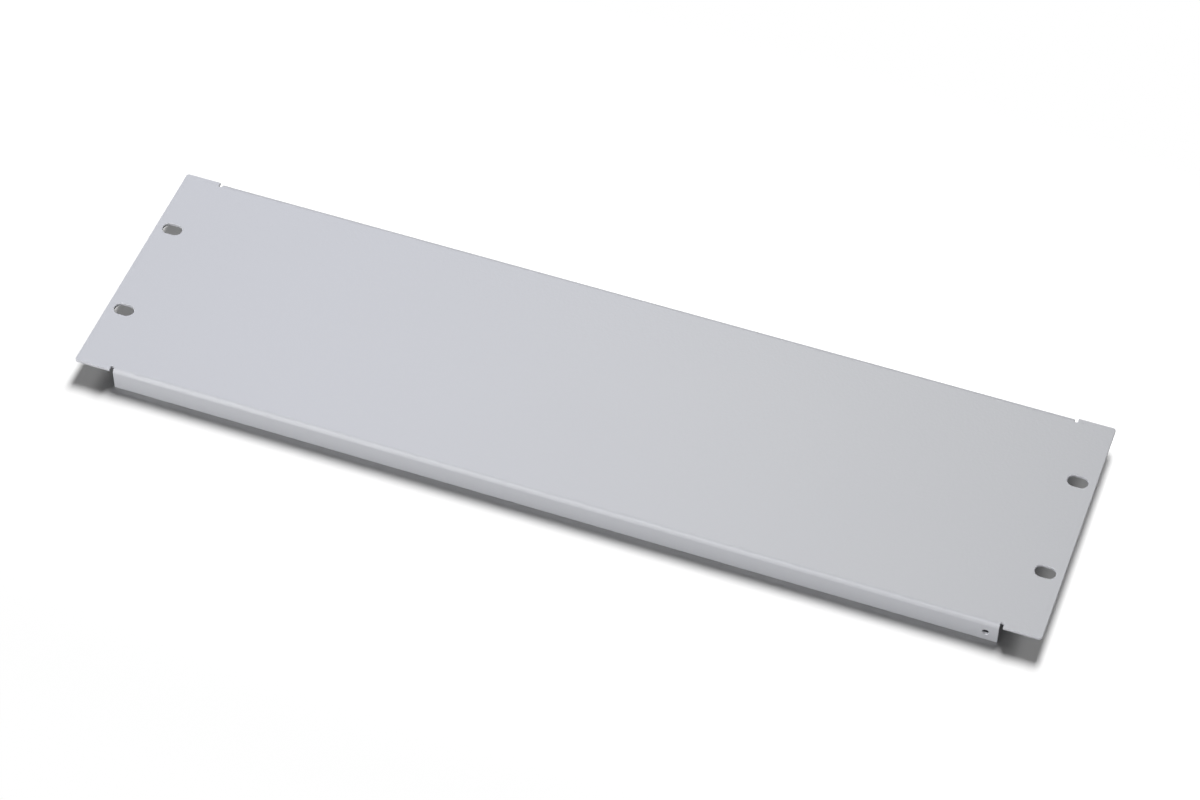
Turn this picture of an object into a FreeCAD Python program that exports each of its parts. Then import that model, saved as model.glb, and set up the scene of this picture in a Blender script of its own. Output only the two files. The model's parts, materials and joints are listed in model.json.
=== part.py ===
import FreeCAD, Part
import math
import os

import Sketcher

# A 19-inch rack blanking panel: one steel sheet with a flat front, a mounting ear at each end, and a
# flange folded back along the top and the bottom edge.
#
# Row frame: +X along the panel's width, +Y towards the top of the rack, +Z out of the front face.
# The origin is the middle of the four mounting slots, on the back of the ears, which is the plane that
# bears on the rack's rails. The panel lies face up, on the free edges of its two flanges.

NODE = "blanking_panel"

# Alias, value in millimetres (rack_units is a count), meaning.
SIZES = [
    ("rack_units", 3, "height of the panel, in rack units"),
    ("unit_pitch", 44.45, "height of one rack unit"),
    ("stacking_gap", 0.8, "how much lower the panel is than its rack units"),
    ("slot_span", 465.1, "from the left slots' centres to the right ones'"),
    ("slot_inset", 38.1, "from the edge of the rack units to a slot's centre"),
    ("slot_length", 10.0, "mounting slot, end to end"),
    ("slot_height", 6.8, "mounting slot, across"),
    ("slot_to_end", 8.75, "from a slot's centre to the end of the panel"),
    ("slot_to_flange", 11.25, "from a slot's centre to the end of the flanges"),
    ("sheet_thickness", 1.5, "the steel sheet"),
    ("bend_radius", 0.8, "inside radius of the folds"),
    ("flange_depth", 12.4, "from the front face to a flange's free edge"),
    ("relief_width", 1.6, "slit between an ear and a flange"),
    ("relief_margin", 0.3, "how far the slit runs in past the fold"),
    ("corner_radius", 1.5, "outer corners of the ears"),
    ("hole_diameter", 3.2, "hole in the lower flange, to hang the panel by while it is coated"),
    ("hole_to_end", 6.0, "from that hole's centre to the end of the flange"),
    ("hole_drop", 7.0, "from the front face to that hole's centre"),
]

# Lengths that several features share, worked out from the sheet.
HALF_WIDTH = "(sizes.slot_span / 2 + sizes.slot_to_end)"
HALF_FLANGE = "(sizes.slot_span / 2 - sizes.slot_to_flange)"
HALF_HEIGHT = "((sizes.rack_units * sizes.unit_pitch - sizes.stacking_gap) / 2)"
HALF_RISE = "(sizes.rack_units * sizes.unit_pitch / 2 - sizes.slot_inset)"
OUTER_RADIUS = "(sizes.bend_radius + sizes.sheet_thickness)"
RELIEF_DEPTH = f"({OUTER_RADIUS} + sizes.relief_margin)"
SLOT_STRAIGHT = "(sizes.slot_length - sizes.slot_height)"

# Sketcher's own numbers for its two axes, and for the points of a line or an arc.
AXIS_X = -1
AXIS_Y = -2
START = 1
END = 2
CENTRE = 3
ORIGIN = (AXIS_X, START)


def make_sheet(doc):
    """The spreadsheet that holds the driving sizes."""
    sheet = doc.addObject("Spreadsheet::Sheet", "sizes")
    for row, (alias, value, meaning) in enumerate(SIZES, start=1):
        sheet.set(f"A{row}", meaning)
        sheet.set(f"B{row}", str(value))
        sheet.setAlias(f"B{row}", alias)
    doc.recompute()
    return sheet


def origin_plane(body, role):
    """One of the body's own origin planes."""
    return next(plane for plane in body.Origin.OriginFeatures if plane.Role == role)


class Outline:
    """A sketch on one of a body's origin planes. It is drawn at the sheet's sizes and bound to them."""

    def __init__(self, body, name, role, sheet):
        self.sheet = sheet
        self.sketch = body.newObject("Sketcher::SketchObject", name)
        self.sketch.AttachmentSupport = [(origin_plane(body, role), "")]
        self.sketch.MapMode = "FlatFace"

    def at(self, expression):
        """What an expression on the sheet comes to."""
        return float(self.sheet.evalExpression(expression))

    def line(self, start, end):
        segment = Part.LineSegment(FreeCAD.Vector(*start, 0), FreeCAD.Vector(*end, 0))
        return self.sketch.addGeometry(segment, False)

    def circle(self, centre, radius):
        circle = Part.Circle(FreeCAD.Vector(*centre, 0), FreeCAD.Vector(0, 0, 1), radius)
        return self.sketch.addGeometry(circle, False)

    def arc(self, centre, radius, first_degrees, last_degrees):
        circle = Part.Circle(FreeCAD.Vector(*centre, 0), FreeCAD.Vector(0, 0, 1), radius)
        first, last = math.radians(first_degrees), math.radians(last_degrees)
        return self.sketch.addGeometry(Part.ArcOfCircle(circle, first, last), False)

    def tie(self, kind, *things):
        """The same kind of geometric constraint on one thing after another."""
        for thing in things:
            where = thing if isinstance(thing, tuple) else (thing,)
            self.sketch.addConstraint(Sketcher.Constraint(kind, *where))

    def size(self, name, kind, where, expression):
        """A dimension that follows an expression on the sheet."""
        constraint = Sketcher.Constraint(kind, *where, self.at(expression))
        index = self.sketch.addConstraint(constraint)
        self.sketch.renameConstraint(index, name)
        self.sketch.setExpression(f"Constraints.{name}", expression)


def channel_section(body, sheet):
    """The front and both flanges, cut across: the back of the front lies on the sketch's X axis."""
    section = Outline(body, "channel_section", "YZ_Plane", sheet)
    half = section.at(HALF_HEIGHT)
    outer = section.at(OUTER_RADIUS)
    inner = section.at("sizes.bend_radius")
    front = section.at("sizes.sheet_thickness")
    inside = half - front
    fold = half - outer
    axis = front - outer
    edge = front - section.at("sizes.flange_depth")

    top_outside = section.line((half, edge), (half, axis))
    top_outer_bend = section.arc((fold, axis), outer, 0, 90)
    face = section.line((fold, front), (-fold, front))
    low_outer_bend = section.arc((-fold, axis), outer, 90, 180)
    low_outside = section.line((-half, axis), (-half, edge))
    low_edge = section.line((-half, edge), (-inside, edge))
    low_inside = section.line((-inside, edge), (-inside, axis))
    low_inner_bend = section.arc((-fold, axis), inner, 90, 180)
    back = section.line((-fold, 0), (fold, 0))
    top_inner_bend = section.arc((fold, axis), inner, 0, 90)
    top_inside = section.line((inside, axis), (inside, edge))
    top_edge = section.line((inside, edge), (half, edge))

    section.tie(
        "Tangent",
        (top_outside, END, top_outer_bend, START),
        (top_outer_bend, END, face, START),
        (face, END, low_outer_bend, START),
        (low_outer_bend, END, low_outside, START),
        (low_inside, END, low_inner_bend, END),
        (low_inner_bend, START, back, START),
        (back, END, top_inner_bend, END),
        (top_inner_bend, START, top_inside, START),
    )
    section.tie(
        "Coincident",
        (low_outside, END, low_edge, START),
        (low_edge, END, low_inside, START),
        (top_inside, END, top_edge, START),
        (top_edge, END, top_outside, START),
        (top_outer_bend, CENTRE, top_inner_bend, CENTRE),
    )
    section.tie("Horizontal", face, back, low_edge, top_edge)
    section.tie("Vertical", top_outside, low_outside, low_inside, top_inside)
    section.tie(
        "Equal",
        (low_outer_bend, top_outer_bend),
        (low_inner_bend, top_inner_bend),
        (low_edge, top_edge),
    )
    section.tie("Symmetric", (top_outside, START, low_outside, END, AXIS_Y))
    section.tie("PointOnObject", (back, START, AXIS_X))

    section.size("half_height", "DistanceX", (*ORIGIN, top_outside, START), HALF_HEIGHT)
    section.size("thickness", "DistanceX", (top_edge, START, top_edge, END), "sizes.sheet_thickness")
    section.size("bend_radius", "Radius", (top_inner_bend,), "sizes.bend_radius")
    section.size("depth", "DistanceY", (top_outside, START, face, START), "sizes.flange_depth")
    return section.sketch


def ear_outline(body, sheet):
    """The right ear, from the end of the flanges to the end of the panel."""
    ear = Outline(body, "ear_outline", "XY_Plane", sheet)
    near = ear.at(HALF_FLANGE)
    far = ear.at(HALF_WIDTH)
    half = ear.at(HALF_HEIGHT)
    corner = ear.at("sizes.corner_radius")

    bottom = ear.line((near, -half), (far - corner, -half))
    low_corner = ear.arc((far - corner, corner - half), corner, 270, 360)
    end = ear.line((far, corner - half), (far, half - corner))
    top_corner = ear.arc((far - corner, half - corner), corner, 0, 90)
    top = ear.line((far - corner, half), (near, half))
    root = ear.line((near, half), (near, -half))

    ear.tie(
        "Tangent",
        (bottom, END, low_corner, START),
        (low_corner, END, end, START),
        (end, END, top_corner, START),
        (top_corner, END, top, START),
    )
    ear.tie("Coincident", (top, END, root, START), (root, END, bottom, START))
    ear.tie("Horizontal", bottom, top)
    ear.tie("Vertical", end)
    ear.tie("Equal", (low_corner, top_corner))
    ear.tie("Symmetric", (root, START, root, END, AXIS_X))

    ear.size("half_flange", "DistanceX", (*ORIGIN, root, START), HALF_FLANGE)
    ear.size("half_width", "DistanceX", (*ORIGIN, end, START), HALF_WIDTH)
    ear.size("half_height", "DistanceY", (*ORIGIN, root, START), HALF_HEIGHT)
    ear.size("corner_radius", "Radius", (top_corner,), "sizes.corner_radius")
    return ear.sketch


def slot_outline(body, sheet):
    """The upper right mounting slot."""
    slot = Outline(body, "slot_outline", "XY_Plane", sheet)
    x = slot.at("sizes.slot_span / 2")
    y = slot.at(HALF_RISE)
    radius = slot.at("sizes.slot_height / 2")
    reach = slot.at(SLOT_STRAIGHT) / 2

    bottom = slot.line((x - reach, y - radius), (x + reach, y - radius))
    right = slot.arc((x + reach, y), radius, 270, 450)
    top = slot.line((x + reach, y + radius), (x - reach, y + radius))
    left = slot.arc((x - reach, y), radius, 90, 270)

    slot.tie(
        "Tangent",
        (bottom, END, right, START),
        (right, END, top, START),
        (top, END, left, START),
        (left, END, bottom, START),
    )
    slot.tie("Horizontal", bottom, top)

    slot.size("height", "DistanceY", (bottom, START, top, END), "sizes.slot_height")
    slot.size("straight", "DistanceX", (left, CENTRE, right, CENTRE), SLOT_STRAIGHT)
    slot.size("across", "DistanceX", (*ORIGIN, left, CENTRE), f"(sizes.slot_span - {SLOT_STRAIGHT}) / 2")
    slot.size("up", "DistanceY", (*ORIGIN, left, CENTRE), HALF_RISE)
    return slot.sketch


def relief_outline(body, sheet):
    """The slit that parts the right ear from the end of the upper flange."""
    slit = Outline(body, "relief_outline", "XY_Plane", sheet)
    near = slit.at(HALF_FLANGE)
    far = near + slit.at("sizes.relief_width")
    high = slit.at(HALF_HEIGHT)
    low = high - slit.at(RELIEF_DEPTH)

    bottom = slit.line((near, low), (far, low))
    right = slit.line((far, low), (far, high))
    top = slit.line((far, high), (near, high))
    left = slit.line((near, high), (near, low))

    slit.tie(
        "Coincident",
        (bottom, END, right, START),
        (right, END, top, START),
        (top, END, left, START),
        (left, END, bottom, START),
    )
    slit.tie("Horizontal", bottom, top)
    slit.tie("Vertical", left, right)

    slit.size("across", "DistanceX", (*ORIGIN, left, START), HALF_FLANGE)
    slit.size("width", "DistanceX", (bottom, START, bottom, END), "sizes.relief_width")
    slit.size("up", "DistanceY", (*ORIGIN, left, START), HALF_HEIGHT)
    slit.size("depth", "DistanceY", (left, END, left, START), RELIEF_DEPTH)
    return slit.sketch


def hole_outline(body, sheet):
    """The hanging hole, near the right end of the lower flange."""
    hole = Outline(body, "hole_outline", "XZ_Plane", sheet)
    across = f"({HALF_FLANGE} - sizes.hole_to_end)"
    down = "(sizes.hole_drop - sizes.sheet_thickness)"
    ring = hole.circle((hole.at(across), -hole.at(down)), hole.at("sizes.hole_diameter") / 2)

    hole.size("diameter", "Diameter", (ring,), "sizes.hole_diameter")
    hole.size("across", "DistanceX", (*ORIGIN, ring, CENTRE), across)
    hole.size("down", "DistanceY", (ring, CENTRE, *ORIGIN), down)
    return hole.sketch


def pad(body, name, profile, length, side):
    """Sheet metal, as thick or as long as an expression says."""
    feature = body.newObject("PartDesign::Pad", name)
    feature.Profile = profile
    feature.SideType = side
    feature.setExpression("Length", length)
    return feature


def cut(body, name, profile, reverse):
    """A cut that starts at its sketch and goes on through the sheet."""
    feature = body.newObject("PartDesign::Pocket", name)
    feature.Profile = profile
    feature.Type = "ThroughAll"
    feature.Reversed = reverse
    return feature


def mirror(body, name, role):
    """A mirror about one of the body's origin planes."""
    feature = body.newObject("PartDesign::Mirrored", name)
    feature.MirrorPlane = (origin_plane(body, role), [""])
    return feature


def make_panel(doc, sheet):
    """The folded sheet: its channel, its two ears, and what is punched in it."""
    body = doc.addObject("PartDesign::Body", NODE)
    body.Label = NODE

    pad(body, "channel", channel_section(body, sheet), f"2 * {HALF_FLANGE}", "Symmetric")
    ear = pad(body, "ear", ear_outline(body, sheet), "sizes.sheet_thickness", "One side")
    ears = mirror(body, "ears", "YZ_Plane")
    ears.Originals = [ear]
    body.Tip = ears
    doc.recompute()

    slot = cut(body, "slot", slot_outline(body, sheet), True)
    relief = cut(body, "relief", relief_outline(body, sheet), True)
    doc.recompute()

    corners = body.newObject("PartDesign::MultiTransform", "corners")
    corners.Originals = [slot, relief]
    corners.Transformations = [
        mirror(body, "left_and_right", "YZ_Plane"),
        mirror(body, "top_and_bottom", "XZ_Plane"),
    ]
    body.Tip = corners
    doc.recompute()

    cut(body, "hanging_hole", hole_outline(body, sheet), True)
    doc.recompute()
    return body


def check(doc, body):
    """Raises an error if anything failed, or if a cut took nothing away."""
    for thing in doc.Objects:
        if "Invalid" in thing.State or "Error" in thing.State:
            raise RuntimeError(f"{thing.Label} failed: {thing.State}")
    for feature in body.Group:
        if feature.TypeId != "PartDesign::Pocket":
            continue
        if feature.Shape.Volume >= feature.BaseFeature.Shape.Volume:
            raise RuntimeError(f"{feature.Label} cut nothing")
    if body.Shape.isNull() or not body.Shape.isValid():
        raise RuntimeError(f"{body.Label} has no valid shape")
    if len(body.Shape.Solids) != 1:
        raise RuntimeError(f"{body.Label} is {len(body.Shape.Solids)} solids")


def main():
    doc = FreeCAD.newDocument("rack_blanking_panel")
    sheet = make_sheet(doc)
    body = make_panel(doc, sheet)
    check(doc, body)
    os.makedirs("parts", exist_ok=True)
    body.Shape.exportStep(f"parts/{body.Label}.step")


main()
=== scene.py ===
import json
import math

import bmesh
import bpy
from mathutils import Matrix, Vector


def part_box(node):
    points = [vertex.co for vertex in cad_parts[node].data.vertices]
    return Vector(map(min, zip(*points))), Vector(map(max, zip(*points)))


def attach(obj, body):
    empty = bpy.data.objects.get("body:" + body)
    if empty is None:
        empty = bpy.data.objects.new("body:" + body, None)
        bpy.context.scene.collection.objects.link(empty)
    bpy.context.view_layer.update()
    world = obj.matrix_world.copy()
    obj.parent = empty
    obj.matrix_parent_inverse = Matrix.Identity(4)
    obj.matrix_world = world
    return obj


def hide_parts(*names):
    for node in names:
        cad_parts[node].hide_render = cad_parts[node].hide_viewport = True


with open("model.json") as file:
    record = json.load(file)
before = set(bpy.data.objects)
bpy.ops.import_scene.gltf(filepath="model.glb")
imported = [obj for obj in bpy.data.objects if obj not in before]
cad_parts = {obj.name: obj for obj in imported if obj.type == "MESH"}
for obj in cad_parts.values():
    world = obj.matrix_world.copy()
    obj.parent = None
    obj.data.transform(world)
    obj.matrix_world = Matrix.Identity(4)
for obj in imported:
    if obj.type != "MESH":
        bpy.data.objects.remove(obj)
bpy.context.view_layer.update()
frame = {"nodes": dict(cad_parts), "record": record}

# Makes a 19-inch rack blanking panel: one folded steel sheet under a satin powder coat, lying face up on
# the free edges of its flanges. Everything is in metres: +X along the panel's width, +Y towards the top of
# the rack, +Z out of the front face, and the origin on the back of the mounting ears.

bl_info = {
    "name": "Rack blanking panel",
    "version": (1, 0, 0),
    "blender": (4, 5, 0),
    "location": "3D View > Sidebar > Blanking panel",
    "description": "Folds a coated sheet-steel panel for a 19-inch rack and lights it",
    "category": "Add Mesh",
}

NODE = "blanking_panel"
MILLIMETRE = 0.001
TINY = 1e-6  # metres: points nearer than this are at one place
SHARP_ANGLE = math.radians(45)

# What the frame says: the sheet's outside, its slots, and where its flanges end.
LOW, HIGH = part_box(NODE)
HALF_WIDTH = HIGH.x
HALF_HEIGHT = HIGH.y
FRONT = HIGH.z
FLOOR = LOW.z
THICKNESS = FRONT  # the back of the ears is the plane z = 0
FLANGE_END = max(point.co.x for point in frame["nodes"][NODE].data.vertices if point.co.z < FLOOR + TINY)
SLOTS = next(mount["dims"] for mount in frame["record"]["mounts"] if mount["name"] == "rack_slots")
SLOT_X = SLOTS["spacing_x_mm"] / 2 * MILLIMETRE
SLOT_Y = SLOTS["spacing_y_mm"] / 2 * MILLIMETRE
SLOT_RADIUS = SLOTS["hole_r_mm"] * MILLIMETRE
SLOT_LENGTH = SLOTS["slot_length_mm"] * MILLIMETRE

X_AXIS = Vector((1, 0, 0))
Y_AXIS = Vector((0, 1, 0))
Z_AXIS = Vector((0, 0, 1))


def length(name, description, default):
    """A length that a user may change, in metres."""
    return bpy.props.FloatProperty(
        name=name, description=description, default=default, min=0, precision=5, unit="LENGTH"
    )


def angle(name, description, degrees):
    """An angle that a user may change, shown in degrees."""
    return bpy.props.FloatProperty(
        name=name, description=description, default=math.radians(degrees), subtype="ANGLE"
    )


def share(name, description, default):
    """A number from 0 to 1."""
    return bpy.props.FloatProperty(
        name=name, description=description, default=default, min=0, max=1, subtype="FACTOR"
    )


def strength(name, description, default):
    """How bright a light makes a white card that faces it at the panel, where 1 is plain white."""
    return bpy.props.FloatProperty(name=name, description=description, default=default, min=0)


def colour(name, description, default):
    """A colour, in linear light."""
    return bpy.props.FloatVectorProperty(
        name=name, description=description, default=default, min=0, max=1, subtype="COLOR"
    )


def place(name, description, default):
    """A point in the frame described above, in metres."""
    return bpy.props.FloatVectorProperty(
        name=name, description=description, default=default, precision=4, subtype="TRANSLATION"
    )


class SheetSizes(bpy.types.PropertyGroup):
    """The sizes of the folded sheet that its outside doesn't give."""

    bend_radius: length("Bend radius", "Inside radius of the two folds", 0.0008)
    relief_width: length("Relief width", "Width of the slit between an ear and a flange", 0.0016)
    relief_margin: length("Relief margin", "How far the slit runs in past the fold", 0.0003)
    corner_radius: length("Corner radius", "Radius of the ears' outer corners", 0.0015)
    hole_diameter: length("Hole diameter", "Hanging hole in the lower flange", 0.0032)
    hole_to_end: length("Hole to end", "From the hanging hole to the end of the flange", 0.006)
    hole_drop: length("Hole drop", "From the front face to the hanging hole", 0.007)
    edge_radius: length("Edge radius", "How round the coat leaves the sheet's edges", 0.00028)
    fold_steps: bpy.props.IntProperty(
        name="Fold steps", description="Facets round each fold", default=16, min=4
    )
    ring_steps: bpy.props.IntProperty(
        name="Ring steps", description="Facets round each hole", default=64, min=16
    )
    corner_steps: bpy.props.IntProperty(
        name="Corner steps", description="Facets round each outer corner", default=8, min=1
    )
    edge_steps: bpy.props.IntProperty(
        name="Edge steps", description="Facets round each edge", default=4, min=1
    )


class CoatFinish(bpy.types.PropertyGroup):
    """The satin powder coat."""

    tint: colour("Colour", "The coat's light grey", (0.6, 0.61, 0.645))
    roughness: share("Roughness", "From gloss to matt", 0.42)
    peel_size: length("Peel size", "From one swelling of the coat to the next", 0.0016)
    peel_height: length("Peel height", "How far the swellings stand up", 0.00005)
    grain_size: length("Grain size", "Size of the powder's own grain", 0.0003)
    grain_height: length("Grain height", "How far the grain stands up", 0.00001)
    cloud_size: length("Cloud size", "From one broad patch of the coat to the next", 0.096)
    cloudiness: share("Cloudiness", "How much the grey varies in broad patches", 0.02)
    speckle: share("Speckle", "How much the grey varies from grain to grain", 0.03)
    cloud_gloss: share("Cloud gloss", "How much the roughness varies in broad patches", 0.05)
    grain_gloss: share("Grain gloss", "How much the roughness varies from grain to grain", 0.08)


class StudioSetup(bpy.types.PropertyGroup):
    """The floor, the lamps and the camera."""

    floor_tint: colour("Floor", "The pale floor, as it lights the panel from below", (0.25, 0.25, 0.25))
    floor_look: colour("Floor's look", "The pale floor, as it is seen", (0.72, 0.72, 0.72))
    shadow_reach: length("Shadow reach", "How far from the panel the floor keeps its own look", 0.03)
    daylight: strength("Daylight", "Even light from all round", 0.06)
    key: strength("Key", "Lamp behind the panel that lights the floor", 1.5)
    key_place: place("Key place", "Where the key hangs", (0.04, 1.27, 2.2))
    wing_left: strength("Left wing", "Low lamp that lights the floor from the left", 0.3)
    wing_right: strength("Right wing", "Low lamp that lights the floor from the right", 0.29)
    wing_place: place("Wing place", "Where the right wing stands, opposite the left one", (1.1, 0.65, 0.75))
    front: strength("Front", "Softbox above and in front of the panel", 0.575)
    front_place: place("Front place", "Where the front softbox hangs", (-0.35, -1.05, 1.6))
    fill: strength("Fill", "Low softbox in front and to the left", 0.36)
    fill_place: place("Fill place", "Where the fill stands", (-1.0, -1.6, 0.4))
    window: strength("Window", "Cool softbox behind and to the left", 0.193)
    window_place: place("Window place", "Where the cool softbox hangs", (-0.62, 0.96, 1.2))
    window_tint: colour("Window tint", "The cool softbox's colour", (0.76, 0.785, 1.0))
    back: strength("Back", "Warm softbox behind the panel", 0.19)
    back_place: place("Back place", "Where the warm softbox hangs", (-0.12, 0.96, 1.2))
    back_tint: colour("Back tint", "The warm softbox's colour", (1.0, 0.986, 0.832))
    aim: place("Aim", "Where the camera looks on the front face", (0.0049, -0.0023, FRONT))
    azimuth: angle("Azimuth", "How far round to the right the camera stands", 19.42)
    elevation: angle("Elevation", "How far up the camera stands", 49.62)
    roll: angle("Roll", "How far the camera leans", 0.71)
    distance: length("Distance", "From the aim to the camera", 1.7389)
    lens: bpy.props.FloatProperty(
        name="Lens", description="Focal length", default=109.13, min=1, unit="CAMERA"
    )


# ---------------------------------------------------------------------------------------------------------
# The folded sheet
# ---------------------------------------------------------------------------------------------------------


def slice_at(sheet, axis, place_along):
    """Adds a line of edges across the sheet at a place along an axis."""
    bmesh.ops.bisect_plane(
        sheet,
        geom=sheet.verts[:] + sheet.edges[:] + sheet.faces[:],
        dist=TINY,
        plane_co=axis * place_along,
        plane_no=axis,
    )


def slice_twice(sheet, axis, places):
    """Adds a line of edges across the sheet at each place along an axis, and at its mirror image."""
    for place_along in places:
        for side in (-1, 1):
            slice_at(sheet, axis, side * place_along)


def cut_away(sheet, is_waste):
    """Deletes the faces whose middle is waste."""
    waste = [face for face in sheet.faces if is_waste(face.calc_center_median())]
    bmesh.ops.delete(sheet, geom=waste, context="FACES")


def make_ring(sheet, steps, radius, straight, where):
    """Edges round a hole, which is an oblong one if it has a straight stretch."""
    half_step = Matrix.Rotation(math.pi / steps, 4, "Z")
    made = bmesh.ops.create_circle(sheet, cap_ends=False, segments=steps, radius=radius, matrix=half_step)
    for point in made["verts"]:
        point.co.x += math.copysign(straight / 2, point.co.x)
    bmesh.ops.transform(sheet, matrix=where, verts=made["verts"])
    return list(dict.fromkeys(edge for point in made["verts"] for edge in point.link_edges))


def punch(sheet, steps, radius, straight, collar_width, where):
    """Opens a hole in the middle of the face that lies round its centre."""
    centre = where.translation
    cell = min(sheet.faces, key=lambda face: (face.calc_center_median() - centre).length)
    rim = list(cell.edges)
    bmesh.ops.delete(sheet, geom=[cell], context="FACES_ONLY")
    hole = make_ring(sheet, steps, radius, straight, where)
    collar = make_ring(sheet, steps, radius + collar_width, straight, where)
    bmesh.ops.bridge_loops(sheet, edges=hole + collar)
    bmesh.ops.triangle_fill(sheet, edges=collar + rim, use_beauty=True)


def fold_flange(sheet, side, radius, steps):
    """Folds the sheet back along one long edge, and carries it on to the flange's free edge."""
    line = side * (HALF_HEIGHT - radius)
    edges = [
        edge
        for edge in sheet.edges
        if edge.is_boundary and all(abs(end.co.y - line) < TINY for end in edge.verts)
        and all(abs(end.co.x) < FLANGE_END + TINY for end in edge.verts)
    ]
    bend = bmesh.ops.spin(
        sheet,
        geom=edges + list(dict.fromkeys(end for edge in edges for end in edge.verts)),
        cent=(0, line, FRONT - radius),
        axis=X_AXIS * -side,
        angle=math.pi / 2,
        steps=steps,
    )
    last = [item for item in bend["geom_last"] if isinstance(item, bmesh.types.BMEdge)]
    drawn = bmesh.ops.extrude_edge_only(sheet, edges=last)
    for point in drawn["geom"]:
        if isinstance(point, bmesh.types.BMVert):
            point.co.z = FLOOR


def make_skin(sizes):
    """The outside of the folded sheet, as an open surface."""
    outer_radius = sizes.bend_radius + THICKNESS
    fold_line = HALF_HEIGHT - outer_radius
    slit_bottom = fold_line - sizes.relief_margin
    slit_side = FLANGE_END + sizes.relief_width
    # A narrow collar of faces lies round each hole, in a cell that is a little wider than the collar.
    slot_collar = 0.8 * MILLIMETRE
    hole_collar = 0.4 * MILLIMETRE
    cell_margin = 0.8 * MILLIMETRE
    cell_reach = SLOT_LENGTH / 2 + slot_collar + cell_margin
    cell_rise = SLOT_RADIUS + slot_collar + cell_margin
    hole_x = FLANGE_END - sizes.hole_to_end
    hole_z = FRONT - sizes.hole_drop
    hole_reach = sizes.hole_diameter / 2 + hole_collar + cell_margin

    sheet = bmesh.new()
    outside = Matrix.Translation((0, 0, FRONT)) @ Matrix.Diagonal((HALF_WIDTH, HALF_HEIGHT, 1, 1))
    bmesh.ops.create_grid(sheet, x_segments=1, y_segments=1, size=1, matrix=outside)
    slice_twice(sheet, X_AXIS, (FLANGE_END, slit_side, SLOT_X - cell_reach, SLOT_X + cell_reach))
    slice_twice(sheet, Y_AXIS, (SLOT_Y - cell_rise, SLOT_Y + cell_rise, slit_bottom, fold_line))
    cut_away(sheet, lambda at: FLANGE_END < abs(at.x) < slit_side and abs(at.y) > slit_bottom)
    cut_away(sheet, lambda at: abs(at.x) < FLANGE_END and abs(at.y) > fold_line)

    for side in (-1, 1):
        fold_flange(sheet, side, outer_radius, sizes.fold_steps)
    slice_twice(sheet, X_AXIS, (hole_x - hole_reach, hole_x + hole_reach))
    slice_at(sheet, Z_AXIS, hole_z - hole_reach)
    slice_at(sheet, Z_AXIS, hole_z + hole_reach)

    for across in (-1, 1):
        for up in (-1, 1):
            where = Matrix.Translation((across * SLOT_X, up * SLOT_Y, FRONT))
            straight = SLOT_LENGTH - 2 * SLOT_RADIUS
            punch(sheet, sizes.ring_steps, SLOT_RADIUS, straight, slot_collar, where)
    where = Matrix.Translation((hole_x, -HALF_HEIGHT, hole_z)) @ Matrix.Rotation(math.pi / 2, 4, "X")
    punch(sheet, sizes.ring_steps // 2, sizes.hole_diameter / 2, 0, hole_collar, where)

    corners = [
        point
        for point in sheet.verts
        if abs(point.co.x) > HALF_WIDTH - TINY and abs(point.co.y) > HALF_HEIGHT - TINY
    ]
    bmesh.ops.bevel(
        sheet,
        geom=corners,
        offset=sizes.corner_radius,
        offset_type="OFFSET",
        segments=sizes.corner_steps,
        profile=0.5,
        affect="VERTICES",
        material=-1,
    )
    return sheet


def make_sheet(sizes):
    """The folded sheet as a closed solid with rounded edges."""
    sheet = make_skin(sizes)
    bmesh.ops.recalc_face_normals(sheet, faces=sheet.faces[:])
    front = max(sheet.faces, key=lambda face: face.calc_area())
    if front.normal.z < 0:
        bmesh.ops.reverse_faces(sheet, faces=sheet.faces[:])
    bmesh.ops.solidify(sheet, geom=sheet.faces[:], thickness=THICKNESS)
    bmesh.ops.recalc_face_normals(sheet, faces=sheet.faces[:])

    sharp = [edge for edge in sheet.edges if edge.calc_face_angle_signed() > SHARP_ANGLE]
    bmesh.ops.bevel(
        sheet,
        geom=sharp,
        offset=sizes.edge_radius,
        offset_type="OFFSET",
        segments=sizes.edge_steps,
        profile=0.5,
        affect="EDGES",
        material=-1,
    )
    mesh = bpy.data.meshes.new("folded_panel")
    sheet.to_mesh(mesh)
    sheet.free()
    mesh.shade_smooth()
    return mesh


# ---------------------------------------------------------------------------------------------------------
# The finish
# ---------------------------------------------------------------------------------------------------------


class Wire:
    """A node tree and one output in it. Python's operators on the output add Math nodes."""

    def __init__(self, tree, socket=None):
        self.tree = tree
        self.socket = socket

    def node(self, kind, settings=None, inputs=None, output=0):
        """Adds a node, sets it up, feeds its inputs, and gives one of its outputs."""
        made = self.tree.nodes.new("ShaderNode" + kind)
        for name, value in (settings or {}).items():
            setattr(made, name, value)
        for name, value in (inputs or {}).items():
            if isinstance(name, int):
                socket = made.inputs[name]
            else:
                socket = next(item for item in made.inputs if item.enabled and item.name == name)
            if isinstance(value, Wire):
                self.tree.links.new(value.socket, socket)
            else:
                socket.default_value = value
        return Wire(self.tree, made.outputs[output] if made.outputs else None)

    def maths(self, operation, first, second):
        return self.node("Math", {"operation": operation}, {0: first, 1: second})

    def __add__(self, other):
        return self.maths("ADD", self, other)

    def __radd__(self, other):
        return self.maths("ADD", other, self)

    def __sub__(self, other):
        return self.maths("SUBTRACT", self, other)

    def __rsub__(self, other):
        return self.maths("SUBTRACT", other, self)

    def __mul__(self, other):
        return self.maths("MULTIPLY", self, other)

    def __rmul__(self, other):
        return self.maths("MULTIPLY", other, self)


def noise(tree, position, size, detail):
    """Noise from 0 to 1 whose swellings lie about that size apart."""
    settings = {"noise_dimensions": "3D"}
    inputs = {"Vector": position, "Scale": 1 / size, "Detail": detail, "Roughness": 0.5}
    return tree.node("TexNoise", settings, inputs)


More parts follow.
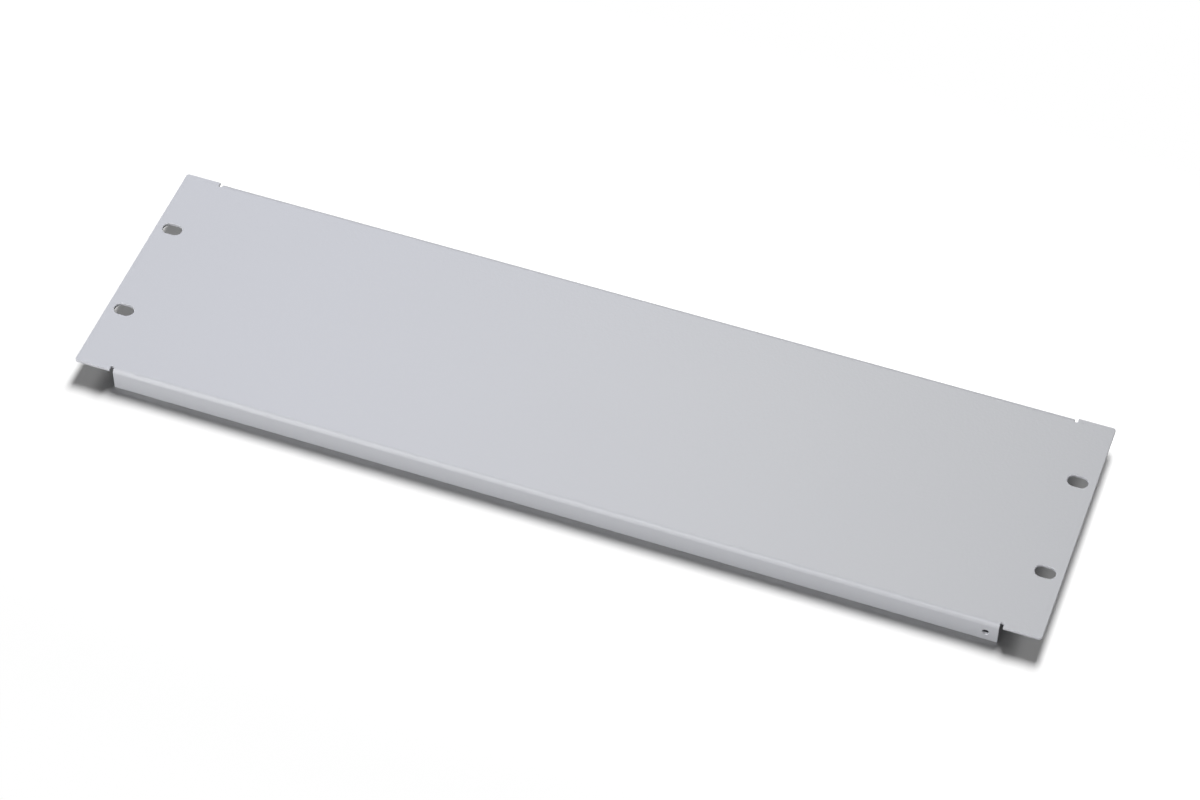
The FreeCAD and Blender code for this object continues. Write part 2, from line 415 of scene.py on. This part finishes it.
def powder_coat(finish):
    """A light grey satin powder coat: soft orange peel, a fine grain, and hardly any cloudiness."""
    material = bpy.data.materials.new("powder_coat")
    material.use_nodes = True
    material.node_tree.nodes.clear()
    tree = Wire(material.node_tree)
    position = tree.node("TexCoord", output="Object")

    peel = noise(tree, position, finish.peel_size, 1)
    grain = noise(tree, position, finish.grain_size, 2)
    clouds = noise(tree, position, finish.cloud_size, 2)

    # Noise is even about a half, so these are even about nought.
    broad = clouds - 0.5
    fine = grain - 0.5
    shade = 1 + finish.cloudiness * broad + finish.speckle * fine
    tint = tree.node(
        "VectorMath", {"operation": "SCALE"}, {0: tuple(finish.tint), "Scale": shade}
    )
    roughness = finish.roughness + finish.cloud_gloss * broad + finish.grain_gloss * fine
    height = finish.peel_height * peel + finish.grain_height * grain
    bumps = tree.node("Bump", None, {"Strength": 1.0, "Distance": 1.0, "Height": height})
    coat = tree.node(
        "BsdfPrincipled",
        None,
        {"Base Color": tint, "Roughness": roughness, "IOR": 1.5, "Normal": bumps},
    )
    tree.node("OutputMaterial", None, {"Surface": coat})
    return material


# ---------------------------------------------------------------------------------------------------------
# The stage
# ---------------------------------------------------------------------------------------------------------

WHITE = (1, 1, 1, 1)
MIXED_COLOUR = 2  # a Mix node has three outputs of one name, and this is the one for colours
FLOOR_REACH = 20  # metres from the middle to each side
FILM_WIDTH = 36  # millimetres
# The lamps' widths and heights, in metres.
KEY_SIZE = (0.8, 1.3)
FRONT_SIZE = (1.4, 0.7)
FILL_SIZE = (1.2, 0.5)
SMALL_SIZE = (0.5, 0.5)


def seen(tree):
    """1 where the camera sees a surface straight on, in gloss or through glass, and otherwise 0."""
    straight_on, in_gloss, through_glass = (
        tree.node("LightPath", output=name)
        for name in ("Is Camera Ray", "Is Glossy Ray", "Is Transmission Ray")
    )
    return tree.maths("MAXIMUM", straight_on, tree.maths("MAXIMUM", in_gloss, through_glass))


def pale_floor(studio):
    """A plain pale finish, whose look runs out into white away from the panel."""
    material = bpy.data.materials.new("pale_floor")
    material.use_nodes = True
    material.node_tree.nodes.clear()
    tree = Wire(material.node_tree)
    looked_at = seen(tree)
    colours = {"Factor": looked_at, "A": (*studio.floor_tint, 1), "B": (*studio.floor_look, 1)}
    tint = tree.node("Mix", {"data_type": "RGBA"}, colours, MIXED_COLOUR)
    paint = tree.node("BsdfDiffuse", None, {"Color": tint})
    white = tree.node("Emission", None, {"Color": WHITE, "Strength": 1.0})

    # The distance from the middle, in which the panel with the shadow's reach round it is a square from
    # -1 to 1. The white begins on the oval through the square's corners, and is full at twice that.
    reach = studio.shadow_reach
    squeeze = (1 / (HALF_WIDTH + reach), 1 / (HALF_HEIGHT + reach), 0)
    corner = math.sqrt(2)
    position = tree.node("TexCoord", output="Object")
    squeezed = tree.node("VectorMath", {"operation": "MULTIPLY"}, {0: position, 1: squeeze})
    distance = tree.node("VectorMath", {"operation": "LENGTH"}, {0: squeezed}, "Value")
    limits = {"Value": distance, "From Min": corner, "From Max": 2 * corner}
    away = tree.node("MapRange", {"interpolation_type": "SMOOTHSTEP"}, limits)
    ground = tree.node("MixShader", None, {0: away * looked_at, 1: paint, 2: white})
    tree.node("OutputMaterial", None, {"Surface": ground})
    return material


def make_floor(studio):
    """The wide floor that the panel lies on."""
    mesh = bpy.data.meshes.new("floor")
    floor = bmesh.new()
    level = Matrix.Translation((0, 0, FLOOR))
    bmesh.ops.create_grid(floor, x_segments=1, y_segments=1, size=FLOOR_REACH, matrix=level)
    floor.to_mesh(mesh)
    floor.free()
    mesh.materials.append(pale_floor(studio))
    piece = bpy.data.objects.new("floor", mesh)
    bpy.context.scene.collection.objects.link(piece)
    return piece


def make_daylight(studio):
    """Faint even light from all round, which looks plain white to the camera and in reflections."""
    world = bpy.data.worlds.new("daylight")
    bpy.context.scene.world = world
    world.use_nodes = True
    world.node_tree.nodes.clear()
    tree = Wire(world.node_tree)
    level = studio.daylight + (1 - studio.daylight) * seen(tree)
    sky = tree.node("Background", None, {"Color": WHITE, "Strength": level})
    tree.node("OutputWorld", None, {"Surface": sky})


def light_only(name, piece):
    """A collection that keeps a lamp's light to one piece."""
    lit = bpy.data.collections.new(name)
    lit.objects.link(piece)
    return lit


def hang_lamp(name, centre, size, level, lit, tint=(1, 1, 1), shape="RECTANGLE"):
    """A soft lamp that faces the panel."""
    lamp = bpy.data.lights.new(name, "AREA")
    lamp.shape = shape
    lamp.size, lamp.size_y = size
    lamp.color = tint
    away = Vector(centre)
    # A small lamp of P watts gives P / (pi * distance squared) on its axis, and a white card in an
    # irradiance of pi shows as plain white.
    lamp.energy = level * math.pi * math.pi * away.length_squared
    piece = bpy.data.objects.new(name, lamp)
    piece.matrix_world = Matrix.Translation(away) @ away.to_track_quat("Z", "Y").to_matrix().to_4x4()
    piece.light_linking.receiver_collection = lit
    bpy.context.scene.collection.objects.link(piece)


def place_camera(studio):
    """The camera stands in front of the panel, to the right and above, and looks down at its face."""
    lens = bpy.data.cameras.new("camera")
    lens.lens = studio.lens
    lens.sensor_width = FILM_WIDTH
    lens.clip_start = 0.05
    lens.clip_end = 100
    camera = bpy.data.objects.new("camera", lens)
    turn = Matrix.Rotation(studio.azimuth, 4, "Z") @ Matrix.Rotation(
        math.pi / 2 - studio.elevation, 4, "X"
    )
    back = turn @ Z_AXIS
    stand = Vector(studio.aim) + back * studio.distance
    camera.matrix_world = Matrix.Translation(stand) @ turn @ Matrix.Rotation(studio.roll, 4, "Z")
    bpy.context.scene.collection.objects.link(camera)
    bpy.context.scene.camera = camera


# ---------------------------------------------------------------------------------------------------------
# The add-on
# ---------------------------------------------------------------------------------------------------------


class BLANKING_OT_fold_panel(bpy.types.Operator):
    """Fold, punch and coat the panel"""

    bl_idname = "blanking.fold_panel"
    bl_label = "Folded panel"

    def execute(self, context):
        mesh = make_sheet(context.scene.blanking_sheet)
        mesh.materials.append(powder_coat(context.scene.blanking_coat))
        panel = bpy.data.objects.new("folded_panel", mesh)
        context.scene.collection.objects.link(panel)
        panel.modifiers.new("flat_faces", "WEIGHTED_NORMAL")
        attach(panel, "root")
        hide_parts(NODE)
        return {"FINISHED"}


class BLANKING_OT_set_stage(bpy.types.Operator):
    """Lay the floor, hang the lamps and place the camera"""

    bl_idname = "blanking.set_stage"
    bl_label = "Stage"

    def execute(self, context):
        studio = context.scene.blanking_studio
        floor = make_floor(studio)
        make_daylight(studio)
        # The key throws the panel's shadow, the wings soften it under the ears, and the softboxes would
        # wash it out if they lit the floor.
        on_floor = light_only("on_floor", floor)
        on_panel = light_only("on_panel", context.scene.objects["folded_panel"])
        hang_lamp("key", studio.key_place, KEY_SIZE, studio.key, on_floor, shape="ELLIPSE")
        opposite = Matrix.Diagonal((-1, 1, 1)) @ Vector(studio.wing_place)
        hang_lamp("left_wing", opposite, SMALL_SIZE, studio.wing_left, on_floor)
        hang_lamp("right_wing", studio.wing_place, SMALL_SIZE, studio.wing_right, on_floor)
        hang_lamp("front", studio.front_place, FRONT_SIZE, studio.front, on_panel)
        hang_lamp("fill", studio.fill_place, FILL_SIZE, studio.fill, on_panel)
        hang_lamp("window", studio.window_place, SMALL_SIZE, studio.window, on_panel, studio.window_tint)
        hang_lamp("back", studio.back_place, SMALL_SIZE, studio.back, on_panel, studio.back_tint)
        place_camera(studio)
        context.scene.view_settings.view_transform = "Standard"
        return {"FINISHED"}


class BLANKING_PT_sidebar(bpy.types.Panel):
    """The panel's pieces and sizes"""

    bl_idname = "BLANKING_PT_sidebar"
    bl_label = "Blanking panel"
    bl_space_type = "VIEW_3D"
    bl_region_type = "UI"
    bl_category = "Blanking panel"

    def draw(self, context):
        for operator, group in (
            (BLANKING_OT_fold_panel, context.scene.blanking_sheet),
            (None, context.scene.blanking_coat),
            (BLANKING_OT_set_stage, context.scene.blanking_studio),
        ):
            box = self.layout.box()
            if operator:
                box.operator(operator.bl_idname)
            for name in group.__annotations__:
                box.prop(group, name)


CLASSES = (
    SheetSizes,
    CoatFinish,
    StudioSetup,
    BLANKING_OT_fold_panel,
    BLANKING_OT_set_stage,
    BLANKING_PT_sidebar,
)


def register():
    for item in CLASSES:
        bpy.utils.register_class(item)
    bpy.types.Scene.blanking_sheet = bpy.props.PointerProperty(type=SheetSizes)
    bpy.types.Scene.blanking_coat = bpy.props.PointerProperty(type=CoatFinish)
    bpy.types.Scene.blanking_studio = bpy.props.PointerProperty(type=StudioSetup)


def unregister():
    del bpy.types.Scene.blanking_studio
    del bpy.types.Scene.blanking_coat
    del bpy.types.Scene.blanking_sheet
    for item in reversed(CLASSES):
        bpy.utils.unregister_class(item)


def main():
    register()
    bpy.ops.blanking.fold_panel()
    bpy.ops.blanking.set_stage()


if __name__ == "__main__":
    main()
